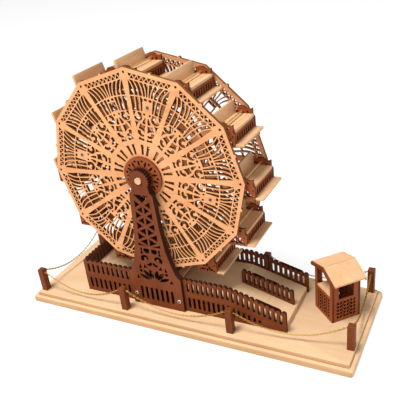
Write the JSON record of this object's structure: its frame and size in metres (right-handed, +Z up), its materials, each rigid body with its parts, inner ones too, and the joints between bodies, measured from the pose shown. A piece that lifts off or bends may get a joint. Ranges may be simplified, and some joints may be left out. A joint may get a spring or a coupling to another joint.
{
  "type": "tabletop model ferris wheel",
  "caption": "Wooden tabletop model of a ferris wheel: fretted twin-plate wheel with level swinging gondolas, lattice towers, fenced deck with ramp, ticket booth and chain-linked posts.",
  "frame": {"origin": "centre of the base board, on its underside", "axes": "+X along the board towards the booth, +Y from the front to the back along the wheel's axle, +Z up"},
  "size_m": [0.67, 0.235, 0.4914],
  "materials": {
    "light_wood": "pale maple with fine grain, satin",
    "dark_wood": "dark red-brown stained wood, satin",
    "red_wood": "red-brown wood, satin",
    "brass_chain": "polished brass"
  },
  "bodies": {
    "frame": {"base_board": "light_wood", "booth_back_wall": "red_wood", "booth_counter": "light_wood", "booth_counter_wall": "red_wood", "booth_far_wall": "red_wood", "booth_front_wall": "red_wood", "booth_gable_board_far": "red_wood", "booth_gable_board_near": "red_wood", "booth_roof_far": "light_wood", "booth_roof_near": "light_wood", "chain_back": "brass_chain", "chain_front": "brass_chain", "chain_left": "brass_chain", "chain_right": "brass_chain", "deck": "light_wood", "fence_back_left": "dark_wood", "fence_back_right": "dark_wood", "fence_front_left": "dark_wood", "fence_front_right": "dark_wood", "fence_left": "dark_wood", "post_1": "dark_wood", "post_2": "dark_wood", "post_3": "dark_wood", "post_4": "dark_wood", "post_5": "dark_wood", "post_6": "dark_wood", "post_7": "dark_wood", "post_8": "dark_wood", "ramp": "light_wood", "ramp_rail": "dark_wood", "tower_back": "dark_wood", "tower_front": "dark_wood"},
    "wheel": {"wheel_front": "light_wood", "wheel_back": "light_wood", "axle": "light_wood", "hub_front": "red_wood", "hub_back": "red_wood", "wheel_spacer_1": "light_wood", "wheel_spacer_2": "light_wood", "wheel_spacer_3": "light_wood", "wheel_spacer_4": "light_wood"},
    "gondola_01": {"gondola_01": "red_wood"},
    "gondola_02": {"gondola_02": "red_wood"},
    "gondola_03": {"gondola_03": "red_wood"},
    "gondola_04": {"gondola_04": "red_wood"},
    "gondola_05": {"gondola_05": "red_wood"},
    "gondola_06": {"gondola_06": "red_wood"},
    "gondola_07": {"gondola_07": "red_wood"},
    "gondola_08": {"gondola_08": "red_wood"},
    "gondola_09": {"gondola_09": "red_wood"},
    "gondola_10": {"gondola_10": "red_wood"},
    "gondola_11": {"gondola_11": "red_wood"},
    "gondola_12": {"gondola_12": "red_wood"}
  },
  "joints": [
    {"name": "wheel_spin", "type": "hinge", "parent": "frame", "child": "wheel", "pos_m": [-0.053, 0, 0.29], "axis": [0, 1, 0], "continuous": true},
    {"name": "gondola_01_swing", "type": "hinge", "parent": "wheel", "child": "gondola_01", "pos_m": [-0.05946, 0, 0.47489], "axis": [0, 1, 0], "continuous": true},
    {"name": "gondola_02_swing", "type": "hinge", "parent": "wheel", "child": "gondola_02", "pos_m": [0.03385, 0, 0.45334], "axis": [0, 1, 0], "continuous": true},
    {"name": "gondola_03_swing", "type": "hinge", "parent": "wheel", "child": "gondola_03", "pos_m": [0.10389, 0, 0.38804], "axis": [0, 1, 0], "continuous": true},
    {"name": "gondola_04_swing", "type": "hinge", "parent": "wheel", "child": "gondola_04", "pos_m": [0.13189, 0, 0.29646], "axis": [0, 1, 0], "continuous": true},
    {"name": "gondola_05_swing", "type": "hinge", "parent": "wheel", "child": "gondola_05", "pos_m": [0.11034, 0, 0.20315], "axis": [0, 1, 0], "continuous": true},
    {"name": "gondola_06_swing", "type": "hinge", "parent": "wheel", "child": "gondola_06", "pos_m": [0.04503, 0, 0.13311], "axis": [0, 1, 0], "continuous": true},
    {"name": "gondola_07_swing", "type": "hinge", "parent": "wheel", "child": "gondola_07", "pos_m": [-0.04654, 0, 0.10511], "axis": [0, 1, 0], "continuous": true},
    {"name": "gondola_08_swing", "type": "hinge", "parent": "wheel", "child": "gondola_08", "pos_m": [-0.13985, 0, 0.12665], "axis": [0, 1, 0], "continuous": true},
    {"name": "gondola_09_swing", "type": "hinge", "parent": "wheel", "child": "gondola_09", "pos_m": [-0.20989, 0, 0.19196], "axis": [0, 1, 0], "continuous": true},
    {"name": "gondola_10_swing", "type": "hinge", "parent": "wheel", "child": "gondola_10", "pos_m": [-0.23789, 0, 0.28354], "axis": [0, 1, 0], "continuous": true},
    {"name": "gondola_11_swing", "type": "hinge", "parent": "wheel", "child": "gondola_11", "pos_m": [-0.21635, 0, 0.37685], "axis": [0, 1, 0], "continuous": true},
    {"name": "gondola_12_swing", "type": "hinge", "parent": "wheel", "child": "gondola_12", "pos_m": [-0.15104, 0, 0.44689], "axis": [0, 1, 0], "continuous": true}
  ],
  "couplings": [
    {"joint": "gondola_01_swing", "follows": "wheel_spin", "ratio": -1},
    {"joint": "gondola_02_swing", "follows": "wheel_spin", "ratio": -1},
    {"joint": "gondola_03_swing", "follows": "wheel_spin", "ratio": -1},
    {"joint": "gondola_04_swing", "follows": "wheel_spin", "ratio": -1},
    {"joint": "gondola_05_swing", "follows": "wheel_spin", "ratio": -1},
    {"joint": "gondola_06_swing", "follows": "wheel_spin", "ratio": -1},
    {"joint": "gondola_07_swing", "follows": "wheel_spin", "ratio": -1},
    {"joint": "gondola_08_swing", "follows": "wheel_spin", "ratio": -1},
    {"joint": "gondola_09_swing", "follows": "wheel_spin", "ratio": -1},
    {"joint": "gondola_10_swing", "follows": "wheel_spin", "ratio": -1},
    {"joint": "gondola_11_swing", "follows": "wheel_spin", "ratio": -1},
    {"joint": "gondola_12_swing", "follows": "wheel_spin", "ratio": -1}
  ]
}
